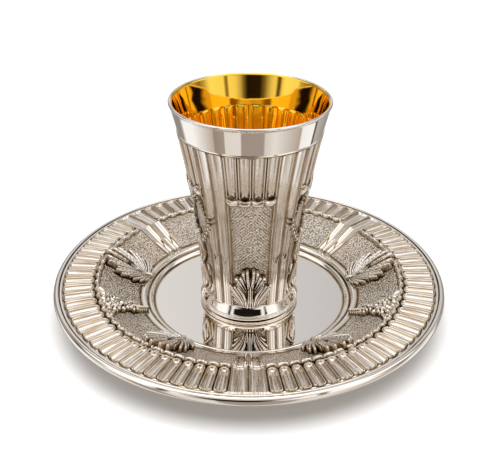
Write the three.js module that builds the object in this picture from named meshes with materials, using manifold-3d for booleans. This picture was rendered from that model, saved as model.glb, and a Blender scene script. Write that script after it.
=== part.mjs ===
// A kiddush cup standing in the well of its matching saucer. The cup is a flared silver beaker, gilt inside,
// with five panels between fluted pilasters; the saucer is a dish with a mirror-bright well, a matted field
// with raised leaves, and a border of hollow flutes inside a rolled rim.
//
// Millimetres, +Z up, origin on the table under the centre of the saucer. Azimuths are in degrees about Z:
// 0 faces the front (-Y) and they grow towards +X.

import * as THREE from 'three';
import { mergeVertices } from 'three/addons/utils/BufferGeometryUtils.js';
import Module from 'manifold-3d';

const wasm = await Module();
wasm.setup();

// ---------------------------------------------------------------- saucer, driving dimensions

const SAUCER_RADIUS = 78;
const RIM_HEIGHT = 12; // centre of the rolled rim above the table
const RIM_ROLL = 1; // radius of the rolled rim
const SHEET = 1.5; // thickness of the dish
const WELL_RADIUS = 38.2;
const WELL_HEIGHT = 3.4; // top of the mirror-bright well above the table
const BEAD_RADIUS = 42.6; // crest of the moulding round the well
const BEAD_HEIGHT = 2.1; // crest of that moulding above the well
const FOOT_RING_INNER = 41.3;
const FOOT_RING_OUTER = 43.8;
const FIELD_INNER = 43.6;
const FIELD_OUTER = 61.2;
const FIELD_SWEEP = 1.15; // exponent of the field's hollow section
const BORDER_HEIGHT = 13.1; // the flat border that carries the flutes
const FLUTES_INNER = 62.6;
const FLUTES_OUTER = 74.2;
const SAUCER_FLUTE_DEPTH = 0.95;
const SCALLOP_RISE = 0.5; // rolled edge between field and flutes

const COLUMN_ARC = 11; // a reeded column is two broad channels wide
const REAR_COLUMN_AT = 132; // the front column is at 0, the others at plus and minus this
const SIDE_FLUTES = 27; // between the front column and a rear one
const REAR_FLUTES = 9; // from a rear column round to the back
const FLUTE_SPREAD = 0.15; // side flutes widen by this share either way from their mean width
const LEAVES_AT = [-104, -36.5, 36.5, 104, 180];
const LEAF_ARC = 18;
const LEAF_RISE = 3.4;
const LEAF_ROOT = 39.6; // the leaves spring from the moulding round the well
const DROPS_AT = [-70, 70];
const DROP_ARC = 14;
const DROP_RISE = 1.6;

// ---------------------------------------------------------------- cup, driving dimensions

const REST_GAP = 0.3; // clearance between the cup's foot and the well
const CUP_TURN = 1.5; // the cup stands turned this far in its saucer
const CUP_HEIGHT = 85.1;
const MOUTH_RADIUS = 30.1;
const WAIST_RADIUS = 18.4;
const FOOT_RADIUS = 19.2;
const FOOT_HEIGHT = 6;
const WALL = 1; // thickness of the smooth band at the mouth
const RELIEF_WALL = 2.3; // from the fillets to the inside, behind the carving
const FLOOR = 3.2; // inside floor above the foot's underside
const FOOT_RECESS = 1.6;
const BAND_HEIGHT = 11.7; // smooth band below the mouth
const SCALLOP_HEIGHT = 54; // rolled scallops that end the panel flutes
const PALMETTE_HEIGHT = 23.5;

const BAYS = 5; // each a panel and a pilaster
const PANEL_ARC = 45.6;
const PANEL_FLUTES = 4;
const PILASTER_FLUTES = 2;
const CUP_FLUTE_DEPTH = 1.2;
const GROUND_DEPTH = 1.1; // the panels' matted ground lies this far behind the fillets
const PALMETTE_RISE = 1.9;
const PALMETTE_BAYS = [0, 2, 3]; // the front bay and the two at the back

// ---------------------------------------------------------------- solids

const SILVER = { color: 0xd8d0c4, metalness: 1, roughness: 0.25 };

function evenAzimuths(count) {
  return Array.from({ length: count }, (_, i) => (360 * i) / count);
}

function solidOf(geometry) {
  geometry.deleteAttribute('normal');
  geometry.deleteAttribute('uv');
  const welded = mergeVertices(geometry);
  const corners = welded.index.array;
  const triVerts = [];
  for (let i = 0; i < corners.length; i += 3) {
    const [a, b, c] = corners.subarray(i, i + 3);
    if (a !== b && b !== c && c !== a) {
      triVerts.push(a, b, c);
    }
  }
  const vertProperties = new Float32Array(welded.getAttribute('position').array);
  return new wasm.Manifold(new wasm.Mesh({ numProp: 3, vertProperties, triVerts: new Uint32Array(triVerts) }));
}

// A solid turned about Z. The profile's [radius, height] points run anticlockwise, out from the axis and back
// to it or round a closed ring. Each azimuth gets one copy of the profile, which carve may move.
function turned(profile, azimuths, carve = (azimuth, radius, height) => [radius, height]) {
  const points = profile.map(([radius, height]) => new THREE.Vector2(radius, height));
  const lathe = new THREE.LatheGeometry(points, azimuths.length);
  const position = lathe.getAttribute('position');
  for (let i = 0; i < position.count; i += 1) {
    const azimuth = azimuths[Math.floor(i / profile.length) % azimuths.length];
    const [radius, height] = carve(azimuth, ...profile[i % profile.length]);
    const angle = THREE.MathUtils.degToRad(azimuth);
    position.setXYZ(i, radius * Math.sin(angle), -radius * Math.cos(angle), height);
  }
  return solidOf(lathe);
}

function meshOf(name, solid) {
  const { vertProperties, triVerts } = solid.getMesh();
  const geometry = new THREE.BufferGeometry();
  geometry.setAttribute('position', new THREE.BufferAttribute(vertProperties, 3));
  geometry.setIndex(new THREE.BufferAttribute(triVerts, 1));
  geometry.computeVertexNormals();
  const mesh = new THREE.Mesh(geometry, new THREE.MeshStandardMaterial(SILVER));
  mesh.name = name;
  return mesh;
}

// Signed angle from one azimuth to another, between -180 and 180.
function azimuthFrom(centre, azimuth) {
  return THREE.MathUtils.euclideanModulo(azimuth - centre + 180, 360) - 180;
}

// Depth of a hollow channel, 0 at its two edges and 1 along its floor, for 0 to 1 across it.
function hollow(across) {
  return Math.sqrt(Math.max(0, Math.sin(Math.PI * across)));
}

// A raised leaf that fans out from its root and closes at its tip: 0 outside it and up to 1 along its middle.
// Along runs from root to tip and aside from the middle to the edge, both 0 to 1.
function leafRelief(along, aside) {
  if (along <= 0 || along >= 1) {
    return 0;
  }
  const halfWidth = Math.sin(Math.PI * along ** 0.75) ** 0.7;
  if (aside >= halfWidth) {
    return 0;
  }
  return Math.sqrt(1 - (aside / halfWidth) ** 2) * Math.sin(Math.PI * along) ** 0.4;
}

// ---------------------------------------------------------------- saucer

// Channel edges on the right half of the saucer, from the front column round to the back.
function rightChannelEdges() {
  const edges = [0, COLUMN_ARC / 2];
  const start = COLUMN_ARC / 2;
  const span = REAR_COLUMN_AT - COLUMN_ARC;
  for (let i = 1; i <= SIDE_FLUTES; i += 1) {
    const share = i / SIDE_FLUTES;
    edges.push(start + span * (share + FLUTE_SPREAD * (share * share - share)));
  }
  edges.push(REAR_COLUMN_AT, REAR_COLUMN_AT + COLUMN_ARC / 2);
  const rearStart = REAR_COLUMN_AT + COLUMN_ARC / 2;
  for (let i = 1; i <= REAR_FLUTES; i += 1) {
    edges.push(rearStart + ((180 - rearStart) * i) / REAR_FLUTES);
  }
  return edges;
}

// One azimuth on each channel's edge and one along its floor, all the way round.
function saucerAzimuths() {
  const right = rightChannelEdges();
  const left = right.slice(1, -1).map((edge) => 360 - edge).reverse();
  const edges = [...right, ...left];
  return edges.flatMap((edge, i) => [edge, (edge + (edges[i + 1] ?? 360)) / 2]);
}

function onColumn(azimuth) {
  return [0, REAR_COLUMN_AT, -REAR_COLUMN_AT].some(
    (centre) => Math.abs(azimuthFrom(centre, azimuth)) <= COLUMN_ARC / 2 + 0.01,
  );
}

function fieldHeight(radius) {
  const share = Math.max(0, (radius - FIELD_INNER) / (FIELD_OUTER - FIELD_INNER));
  const foot = WELL_HEIGHT + BEAD_HEIGHT - 0.6;
  return foot + (BORDER_HEIGHT - 0.8 - foot) * share ** FIELD_SWEEP;
}

// Leaves and floral drops that stand on the field, in millimetres above it. They are ribbed: lower along the
// channel floors than on the channel edges.
function fieldRelief(azimuth, radius, isFloor) {
  const along = (radius - LEAF_ROOT) / (FLUTES_INNER - LEAF_ROOT);
  const rib = isFloor ? 0.6 : 1;
  const leaves = LEAVES_AT.map((centre) => {
    const aside = Math.abs(azimuthFrom(centre, azimuth)) / (LEAF_ARC / 2);
    return LEAF_RISE * rib * leafRelief(along, aside);
  });
  const drops = DROPS_AT.map((centre) => {
    const aside = Math.abs(azimuthFrom(centre, azimuth)) / (DROP_ARC / 2);
    return DROP_RISE * rib * leafRelief(along, aside);
  });
  return Math.max(...leaves, ...drops);
}

function carveSaucer(floors) {
  return (azimuth, radius, height) => {
    const isFloor = floors.has(azimuth);
    if (height <= WELL_HEIGHT || radius >= FLUTES_OUTER) {
      return [radius, height];
    }
    if (radius > FLUTES_INNER) {
      return [radius, height - (isFloor ? SAUCER_FLUTE_DEPTH : 0)];
    }
    if (radius > FIELD_INNER && onColumn(azimuth)) {
      return [radius, height + (isFloor ? 0 : SAUCER_FLUTE_DEPTH)];
    }
    return [radius, height + fieldRelief(azimuth, radius, isFloor)];
  };
}

// The dish with its carved top, still solid down past the table.
function carvedDish() {
  const azimuths = saucerAzimuths();
  const floors = new Set(azimuths.filter((_, i) => i % 2 === 1));
  const crest = WELL_HEIGHT + BEAD_HEIGHT;
  const fieldRadii = [FIELD_OUTER, 55.5, 50, FIELD_INNER + 0.6];
  const profile = [
    [0, -1],
    [SAUCER_RADIUS, -1],
    [SAUCER_RADIUS, RIM_HEIGHT + 0.3 * RIM_ROLL],
    [SAUCER_RADIUS - RIM_ROLL, RIM_HEIGHT + RIM_ROLL],
    [SAUCER_RADIUS - 2 * RIM_ROLL, BORDER_HEIGHT - 0.5],
    [FLUTES_OUTER, BORDER_HEIGHT],
    [FLUTES_OUTER - 1.2, BORDER_HEIGHT],
    [FLUTES_INNER + 1.2, BORDER_HEIGHT],
    [FLUTES_INNER, BORDER_HEIGHT + SCALLOP_RISE],
    ...fieldRadii.map((radius) => [radius, fieldHeight(radius)]),
    [BEAD_RADIUS + 0.4, crest],
    [BEAD_RADIUS - 1.6, crest - 1.2],
    [WELL_RADIUS + 1.2, WELL_HEIGHT + 1],
    [WELL_RADIUS, WELL_HEIGHT],
    [0, WELL_HEIGHT],
  ];
  return turned(profile, azimuths, carveSaucer(floors));
}

// Everything under the dish and round its foot ring, which is cut away.
function underDish() {
  const beyond = SAUCER_RADIUS + 2;
  const rimUnderside = RIM_HEIGHT - 0.8 * RIM_ROLL;
  return turned(
    [
      [0, -2],
      [beyond, -2],
      [beyond, rimUnderside],
      [SAUCER_RADIUS - 2.5, rimUnderside],
      [FLUTES_INNER, rimUnderside - 0.2],
      [FLUTES_INNER - 7, fieldHeight(FLUTES_INNER - 7) - SHEET],
      [FOOT_RING_OUTER + 0.8, WELL_HEIGHT - 0.4],
      [FOOT_RING_OUTER, 0],
      [FOOT_RING_INNER, 0],
      [FOOT_RING_INNER, WELL_HEIGHT - SHEET],
      [0, WELL_HEIGHT - SHEET],
    ],
    evenAzimuths(48),
  );
}

function saucer() {
  return carvedDish().subtract(underDish());
}

// ---------------------------------------------------------------- cup

const PANEL_CHANNEL = PANEL_ARC / PANEL_FLUTES;
const PILASTER_CHANNEL = (360 / BAYS - PANEL_ARC) / PILASTER_FLUTES;
const BAND_FOOT = CUP_HEIGHT - BAND_HEIGHT;

// Side of the cup, a cubic flare from the waist above the foot to the mouth.
function wallRadius(height) {
  const rise = (height - FOOT_HEIGHT) / (CUP_HEIGHT - FOOT_HEIGHT);
  const flare = 0.4 * rise + 0.34 * rise ** 2 + 0.26 * rise ** 3;
  return WAIST_RADIUS + (MOUTH_RADIUS - WAIST_RADIUS) * flare;
}

// Each channel has a vertical row of vertices on its edge and two along its floor.
function cupAzimuths() {
  const azimuths = [];
  for (let bay = 0; bay < BAYS; bay += 1) {
    let edge = (360 * bay) / BAYS - PANEL_ARC / 2;
    for (let i = 0; i < PANEL_FLUTES + PILASTER_FLUTES; i += 1) {
      const width = i < PANEL_FLUTES ? PANEL_CHANNEL : PILASTER_CHANNEL;
      azimuths.push(edge, edge + 0.28 * width, edge + 0.72 * width);
      edge += width;
    }
  }
  return azimuths;
}

function carveCup(azimuth, radius, height) {
  if (radius === 0 || height > BAND_FOOT) {
    return [radius, height];
  }
  const bay = Math.round((azimuth * BAYS) / 360) % BAYS;
  const fromMiddle = azimuthFrom((360 * bay) / BAYS, azimuth);
  const aside = Math.abs(fromMiddle);
  if (aside > PANEL_ARC / 2 + 0.01) {
    const across = ((aside - PANEL_ARC / 2) / PILASTER_CHANNEL) % 1;
    return [radius - CUP_FLUTE_DEPTH * hollow(across), height];
  }
  const across = THREE.MathUtils.euclideanModulo(fromMiddle / PANEL_CHANNEL, 1);
  if (height > SCALLOP_HEIGHT + 2) {
    return [radius - CUP_FLUTE_DEPTH * hollow(across), height];
  }
  const isPanelEdge = aside > PANEL_ARC / 2 - 0.01;
  if (height > SCALLOP_HEIGHT - 4) {
    const sunk = Math.abs(height - SCALLOP_HEIGHT) < 1.5 ? 0.1 : GROUND_DEPTH;
    return [radius - (isPanelEdge ? 0 : sunk), height - 1.6 * hollow(across)];
  }
  if (isPanelEdge) {
    return [radius, height];
  }
  if (!PALMETTE_BAYS.includes(bay)) {
    return [radius - GROUND_DEPTH, height];
  }
  const along = (height - FOOT_HEIGHT + 2) / (PALMETTE_HEIGHT - FOOT_HEIGHT + 2);
  const rib = 0.65 + 0.35 * Math.cos((2 * Math.PI * aside) / PANEL_CHANNEL);
  const palmette = rib * leafRelief(along, aside / (PANEL_ARC / 2));
  return [radius - GROUND_DEPTH + PALMETTE_RISE * palmette, height];
}

// The carved side, from inside the foot to inside the band.
function carvedSide() {
  const flutes = [SCALLOP_HEIGHT + 2.5, BAND_FOOT - 2, BAND_FOOT - 0.3];
  const scallops = [SCALLOP_HEIGHT - 3, SCALLOP_HEIGHT - 1, SCALLOP_HEIGHT + 1];
  const heights = [FOOT_HEIGHT - 1, 10, 14.5, 19, PALMETTE_HEIGHT, 37, ...scallops, ...flutes];
  const top = BAND_FOOT + 0.6;
  const profile = [
    [0, heights[0]],
    ...heights.map((height) => [wallRadius(height), height]),
    [wallRadius(top) - 0.5, top],
    [0, top],
  ];
  return turned(profile, cupAzimuths(), carveCup);
}

function footRing() {
  return turned(
    [
      [0, 0],
      [FOOT_RADIUS - 0.7, 0],
      [FOOT_RADIUS - 0.2, 0.8],
      [FOOT_RADIUS - 0.5, 1.2],
      [FOOT_RADIUS, 2.6],
      [FOOT_RADIUS - 0.2, 4.4],
      [WAIST_RADIUS + 0.2, FOOT_HEIGHT],
      [0, FOOT_HEIGHT],
    ],
    evenAzimuths(48),
  );
}

function band() {
  const lip = 0.3;
  return turned(
    [
      [0, BAND_FOOT],
      [wallRadius(BAND_FOOT), BAND_FOOT],
      [wallRadius(CUP_HEIGHT - 5), CUP_HEIGHT - 5],
      [MOUTH_RADIUS - 0.2, CUP_HEIGHT - 2 * lip],
      [MOUTH_RADIUS, CUP_HEIGHT - lip],
      [MOUTH_RADIUS - lip, CUP_HEIGHT],
      [0, CUP_HEIGHT],
    ],
    evenAzimuths(60),
  );
}

function inside() {
  const relieved = [FLOOR + 1.5, 25, 45, BAND_FOOT - 4].map((height) => [
    wallRadius(height) - RELIEF_WALL,
    height,
  ]);
  const above = CUP_HEIGHT + 1;
  return turned(
    [
      [0, FLOOR],
      [WAIST_RADIUS - RELIEF_WALL - 1.5, FLOOR],
      ...relieved,
      [wallRadius(BAND_FOOT + 1) - WALL, BAND_FOOT + 1],
      [wallRadius(above) - WALL, above],
      [0, above],
    ],
    evenAzimuths(48),
  );
}

function footRecess() {
  return turned(
    [
      [0, -1],
      [FOOT_RADIUS - 2.6, -1],
      [FOOT_RADIUS - 2.6, FOOT_RECESS],
      [0, FOOT_RECESS],
    ],
    evenAzimuths(48),
  );
}

function cup() {
  return carvedSide().add(footRing()).add(band()).subtract(inside()).subtract(footRecess());
}

// ---------------------------------------------------------------- assembly

const cupMesh = meshOf('cup', cup());
cupMesh.position.z = WELL_HEIGHT + REST_GAP;
cupMesh.rotation.z = THREE.MathUtils.degToRad(CUP_TURN);

const part = new THREE.Group();
part.add(cupMesh, meshOf('saucer', saucer()));

export default part;
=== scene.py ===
import math

import bpy
import numpy as np
from mathutils import Euler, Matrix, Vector

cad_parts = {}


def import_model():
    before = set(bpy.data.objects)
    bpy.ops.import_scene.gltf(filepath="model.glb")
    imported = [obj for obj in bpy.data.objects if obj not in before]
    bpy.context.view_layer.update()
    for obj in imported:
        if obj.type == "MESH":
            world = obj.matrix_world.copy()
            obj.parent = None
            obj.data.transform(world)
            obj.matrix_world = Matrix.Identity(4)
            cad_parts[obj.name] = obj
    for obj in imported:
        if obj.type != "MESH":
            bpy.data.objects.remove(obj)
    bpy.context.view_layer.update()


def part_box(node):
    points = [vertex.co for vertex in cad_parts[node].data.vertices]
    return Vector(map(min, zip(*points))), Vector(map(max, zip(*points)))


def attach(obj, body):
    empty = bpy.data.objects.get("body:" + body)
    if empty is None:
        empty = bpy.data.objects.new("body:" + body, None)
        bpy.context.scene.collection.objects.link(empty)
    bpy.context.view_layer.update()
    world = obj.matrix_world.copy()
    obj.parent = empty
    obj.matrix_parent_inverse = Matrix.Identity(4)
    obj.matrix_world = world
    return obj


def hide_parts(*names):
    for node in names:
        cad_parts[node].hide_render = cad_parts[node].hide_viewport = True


# A silver kiddush cup, gilt inside, in the well of its chased saucer, on a white studio table.
# Millimetres and degrees in this file; add_piece turns them into metres. Azimuth 0 faces the front
# (-Y) and grows towards +X. Heights on the cup are above its foot's underside.

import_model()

# -------- driving dimensions

MM = 0.001
cup_low, cup_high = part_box("cup")
saucer_low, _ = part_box("saucer")

SAUCER_RADIUS = -saucer_low.y / MM - 0.02
RIM_HEIGHT = 12.1  # centre of the rolled rim above the table
RIM_ROLL = (1.3, 1.7)  # its radii, outwards and upwards
WELL_RADIUS = 38.2
WELL_HEIGHT = 3.4
FIELD_INNER = 43.6
FIELD_OUTER = 59.6
FIELD_SWEEP = 1.15
FIELD_FOOT = 6.1
BORDER_HEIGHT = 13.6
FLUTES_INNER = 61.6
FLUTES_OUTER = 74.4
BORDER_START = 58.9  # the border's piece reaches in over the field's edge
BORDER_MIDDLE = 68.0
BORDER_END = 74.9
SAUCER_FLUTE_DEPTH = 0.95
COLUMN_ARC = 11.0
REAR_COLUMN_AT = 132.0
COLUMNS_AT = [0.0, REAR_COLUMN_AT, -REAR_COLUMN_AT]
SIDE_FLUTES = 27
REAR_FLUTES = 9
FLUTE_SPREAD = 0.15
LEAVES_AT = [-102.5, -34.8, 34.0, 101.5, 180.0]
DROPS_AT = [-68.5, 67.5]
LEAF_ROOT = 43.0
FIELD_REFERENCE = 52.0  # radius at which the width of the field's ornaments is measured

CUP_AT = cup_low.z / MM
CUP_TURN = 1.5
CUP_HEIGHT = (cup_high.z - cup_low.z) / MM
MOUTH_RADIUS = cup_high.x / MM
WAIST_RADIUS = 18.4
FOOT_HEIGHT = 6.0
FLARE_TOP = 85.1  # height at which the wall reaches the mouth's radius
WALL = 1.35  # thickness at the mouth
FLUTED_WALL = 1.6  # behind the flutes
RELIEF_WALL = 2.3  # behind the panels
FLOOR = 3.2
BAND_FOOT = 73.4
SCALLOP_HEIGHT = 54.0
SCALLOP_SAG = 1.6
BAYS = 5
PANEL_ARC = 45.6
PANEL_CHANNEL = 11.4
PILASTER_CHANNEL = 13.2
CUP_FLUTE_DEPTH = 1.2
GROUND_DEPTH = 1.1
PALMETTE_BAYS = [0, 2, 3]
GARLAND_BAYS = [1, 4]

UNDER = -0.9  # underside of an ornament below the ground it stands on
SUNK = -0.3  # an ornament's open ground, just below the surface that shows
OUTLINE = 0.3  # width of the painted shade along the edges of an ornament's strokes

# What the metal's surface carries, as the third value of its grain.
STIPPLE, HERRINGBONE, FAINT_STREAKS, FULL_STREAKS = range(4)


# -------- shaping functions


def ramp(x, start, end):
    """0 before start, 1 after end and a smooth step between them."""
    share = np.clip((x - start) / (end - start), 0, 1)
    return share * share * (3 - 2 * share)


def dome(x):
    """Half circle: 1 at 0 and 0 from 1 on."""
    return np.sqrt(np.clip(1 - np.square(x), 0, 1))


def spot(x):
    """Bell curve about 0."""
    return np.exp(-np.square(x))


def angle_from(centre, azimuth):
    """Signed angle from one azimuth to another, between -180 and 180."""
    return (azimuth - centre + 180) % 360 - 180


def across_channel(place, width):
    """How far across its channel a place lies: 0 in the channel's middle and 1 at its edges."""
    return np.abs((place / width) % 1 - 0.5) * 2


def spaced(start, *stretches):
    """A rising row of values from start on, through stretches that each have an end and a step."""
    values = [start]
    for end, step in stretches:
        count = max(1, round((end - start) / step))
        values.extend(start + (end - start) * (i + 1) / count for i in range(count))
        start = end
    return np.array(values, float)


def arc(centre, radii, start, end, count):
    """Points on an elliptic arc in a profile, from one angle to another in degrees."""
    angles = np.radians(np.linspace(start, end, count))
    return [(centre[0] + radii[0] * math.cos(a), centre[1] + radii[1] * math.sin(a)) for a in angles]


def round_about(radius, azimuth, height):
    """Points from cylinder coordinates, as an array that ends in x, y, z."""
    angle = np.radians(azimuth)
    return np.stack(np.broadcast_arrays(radius * np.sin(angle), -radius * np.cos(angle), height), -1)


def blurred(field, passes):
    """The field with each value averaged with its neighbours, several times over."""
    for _ in range(passes):
        padded = np.pad(field, ((1, 1), (0, 0)), mode="edge")
        field = (padded[:-2] + 2 * field + padded[2:]) / 4
        padded = np.pad(field, ((0, 0), (1, 1)), mode="edge")
        field = (padded[:, :-2] + 2 * field + padded[:, 2:]) / 4
    return field


# -------- meshes


def add_piece(name, points, quads, triangles, layers, slot="silver", cad_node=None):
    """A smooth closed mesh that rides on the object's only body.

    Layers hold a vector for each vertex, by attribute name.
    """
    mesh = bpy.data.meshes.new(name)
    corners = np.concatenate([quads.ravel(), triangles.ravel()]).astype(np.int32)
    starts = np.concatenate([np.arange(len(quads)) * 4, len(quads) * 4 + np.arange(len(triangles)) * 3])
    mesh.vertices.add(len(points))
    mesh.vertices.foreach_set("co", (points * MM).astype(np.float32).ravel())
    mesh.loops.add(len(corners))
    mesh.loops.foreach_set("vertex_index", corners)
    mesh.polygons.add(len(starts))
    mesh.polygons.foreach_set("loop_start", starts.astype(np.int32))
    mesh.update(calc_edges=True)
    mesh.shade_smooth()
    for layer, values in layers.items():
        attribute = mesh.attributes.new(layer, "FLOAT_VECTOR", "POINT")
        attribute.data.foreach_set("vector", values.astype(np.float32).ravel())
    mesh.materials.append(METALS[slot])
    piece = bpy.data.objects.new(name, mesh)
    bpy.context.scene.collection.objects.link(piece)
    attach(piece, "root")
    if cad_node:
        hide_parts(cad_node)


def ring_quads(rows, columns, closes):
    """Quads between neighbouring rows of a grid that runs all the way round."""
    index = np.arange(rows * columns).reshape(rows, columns)
    lower, upper = (index, np.roll(index, -1, 0)) if closes else (index[:-1], index[1:])
    return np.stack([lower, np.roll(lower, -1, 1), np.roll(upper, -1, 1), upper], -1).reshape(-1, 4)


def flattened(layers):
    """Layers over a grid as one row of values."""
    return {layer: values.reshape(-1, values.shape[-1]) for layer, values in layers.items()}


def add_turned(name, grid, layers, slot="silver", cad_node=None):
    """A solid turned about Z from rows of points, from under its middle out and back in on top."""
    rows, columns, _ = grid.shape
    foot, top = rows * columns, rows * columns + 1
    around = np.arange(columns)
    after = np.roll(around, -1)
    last = (rows - 1) * columns
    triangles = np.concatenate([
        np.stack([np.full(columns, foot), after, around], 1),
        np.stack([last + around, last + after, np.full(columns, top)], 1),
    ])
    middles = np.array([[0, 0, grid[0, :, 2].mean()], [0, 0, grid[-1, :, 2].mean()]])
    points = np.concatenate([grid.reshape(-1, 3), middles])
    flat = flattened(layers)
    for layer, values in layers.items():
        flat[layer] = np.concatenate([flat[layer], [values[0].mean(0), values[-1].mean(0)]])
    quads = ring_quads(rows, columns, False)
    add_piece(name, points, quads, triangles, flat, slot, cad_node)


def add_ring(name, grid, layers):
    """A closed ring about Z from rows of points that run round its section."""
    rows, columns, _ = grid.shape
    no_triangles = np.zeros((0, 3), int)
    quads = ring_quads(rows, columns, True)
    add_piece(name, grid.reshape(-1, 3), quads, no_triangles, flattened(layers))


def add_patch(name, place, xs, ys, relief, layers):
    """A raised ornament whose edges and underside are sunk in the ground it stands on.

    place(x, y, height) gives its points from their place and height over that ground.
    """
    x, y = np.meshgrid(xs, ys)
    rows, columns = x.shape
    top = place(x, y, relief).reshape(-1, 3)
    index = np.arange(rows * columns).reshape(rows, columns)
    quads = np.stack([index[:-1, :-1], index[:-1, 1:], index[1:, 1:], index[1:, :-1]], -1).reshape(-1, 4)
    rim = np.concatenate([index[0, :-1], index[:-1, -1], index[-1, :0:-1], index[:0:-1, 0]])
    middle = np.array([xs.mean(), ys.mean()])
    rim_at = np.stack([x.ravel()[rim], y.ravel()[rim]], 1)
    rings, faces, previous = [], [], rim
    for share in (0.98, 0.5):
        at = middle + (rim_at - middle) * share
        ring = len(top) + len(rings) * len(rim) + np.arange(len(rim))
        rings.append(place(at[:, 0], at[:, 1], np.full(len(rim), UNDER)))
        faces.append(np.stack([previous, ring, np.roll(ring, -1), np.roll(previous, -1)], 1))
        previous = ring
    centre = len(top) + 2 * len(rim)
    hub = place(middle[:1], middle[1:], np.array([UNDER]))
    triangles = np.stack([np.roll(previous, -1), previous, np.full(len(rim), centre)], 1)
    points = np.concatenate([top, *rings, hub])
    hidden = np.zeros((len(points) - len(top), 3))
    flat = {layer: np.concatenate([values, hidden]) for layer, values in flattened(layers).items()}
    add_piece(name, points, np.concatenate([quads, *faces]), triangles, flat)


# -------- relief stamps on a grid of x and y


class Relief:
    """Heights in millimetres over a grid, raised by rounded strokes, and the dirt and painted shade along
    their edges.
    """

    def __init__(self, xs, ys):
        self.xs, self.ys = xs, ys
        self.height = np.full((len(ys), len(xs)), SUNK)
        self.dirt_and_shade = np.zeros(self.height.shape)

    def window(self, points, reach):
        """The part of the grid within reach of the points, as slices and coordinates."""
        low, high = points.min(0) - reach, points.max(0) + reach
        columns = slice(*np.searchsorted(self.xs, [low[0], high[0]]))
        rows = slice(*np.searchsorted(self.ys, [low[1], high[1]]))
        x, y = np.meshgrid(self.xs[columns], self.ys[rows])
        return (rows, columns), x, y

    def stroke(self, path, widths, rises, groove=0.0, cut=0.0):
        """A rounded ridge along a path, with its half width and rise at each point.

        A groove runs down its back, and cut sets it off from what lies beside it by sinking a moat there,
        with painted shadow in the moat. Painted shade runs along the ridge's own edges.
        """
        path = np.asarray(path, float)
        widths = np.broadcast_to(widths, len(path))
        rises = np.broadcast_to(rises, len(path))
        part, x, y = self.window(path, 1.6 * widths.max())
        if x.size == 0:
            return
        ridge = np.full(x.shape, SUNK)
        beside = np.full(x.shape, 9.0)
        old = self.height[part]
        for i in range(len(path) - 1):
            start, run = path[i], path[i + 1] - path[i]
            share = ((x - start[0]) * run[0] + (y - start[1]) * run[1]) / max(run @ run, 1e-9)
            share = np.clip(share, 0, 1)
            away = np.hypot(x - start[0] - share * run[0], y - start[1] - share * run[1])
            away = away / (widths[i] + (widths[i + 1] - widths[i]) * share)
            rise = rises[i] + (rises[i + 1] - rises[i]) * share
            back = rise * dome(away) ** 0.8 * (1 - groove * spot(away / 0.22))
            ridge = np.where(away < 1, np.maximum(ridge, back), ridge)
            beside = np.minimum(beside, away)
        moat = spot(np.clip(beside - 0.95, 0, None) / 0.22)
        # Painted shade along the stroke's edges, full where it lies over another stroke and weaker on its
        # outer contour.
        outline_shade = ramp(beside, 1 - OUTLINE / widths.max(), 1.0) * np.where(old > 0.3, 1.0, 0.65)
        # Painted shadow in the moat that the cut sinks round the strokes beside it.
        shadow = np.maximum(self.dirt_and_shade[part], (cut > 0) * moat * (old > 0))
        self.dirt_and_shade[part] = np.where(ridge > old, outline_shade, shadow)
        old = np.where(old > 0, np.maximum(old - cut * moat, np.minimum(old, 0.05)), old)
        self.height[part] = np.maximum(old, ridge)

    def finger(self, root, tip, width, rise, bend=0.0, groove=0.0, lift=0.35, point=0.3, cut=0.6):
        """A leaf finger, narrow and low at its root.

        Lift is the share of its rise that it gains on the way, and point how far its tip tapers.
        """
        along = np.linspace(0, 1, 9)
        path = curve(root, tip, bend, along)
        widths = width * (0.45 + 0.55 * ramp(along, 0, 0.65)) * (1 - point * ramp(along, 0.6, 1.0))
        rises = rise * (1 - lift + lift * np.sin(2.0 * along))
        self.stroke(path, widths, rises, groove, cut)

    def bead(self, at, radius, rise, cut=0.4):
        """A round bead or bud."""
        self.stroke([at, (at[0], at[1] + 1e-3)], radius, rise, 0.0, cut)

    def grounded(self, reach):
        """Brings the open ground just above the surface that shows, as far as reach passes spread."""
        near = blurred((self.height > 0.1).astype(float), reach) > 0.02
        self.height = np.where((self.height < 0.04) & near, 0.04, self.height)
        return self


def towards(at, length, heading):
    """The point at a length from another, in a direction in degrees clockwise from y."""
    turn = math.radians(heading)
    return at[0] + length * math.sin(turn), at[1] + length * math.cos(turn)


def curve(root, tip, bend, along):
    """Points of a curve from root to tip that bows to the left of its run by bend times its length."""
    root, tip = np.asarray(root, float), np.asarray(tip, float)
    run = tip - root
    side = np.array([-run[1], run[0]])
    bow = (4 * along * (1 - along))[:, None]
    return root + along[:, None] * run + bend * bow * side


# -------- materials


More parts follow.
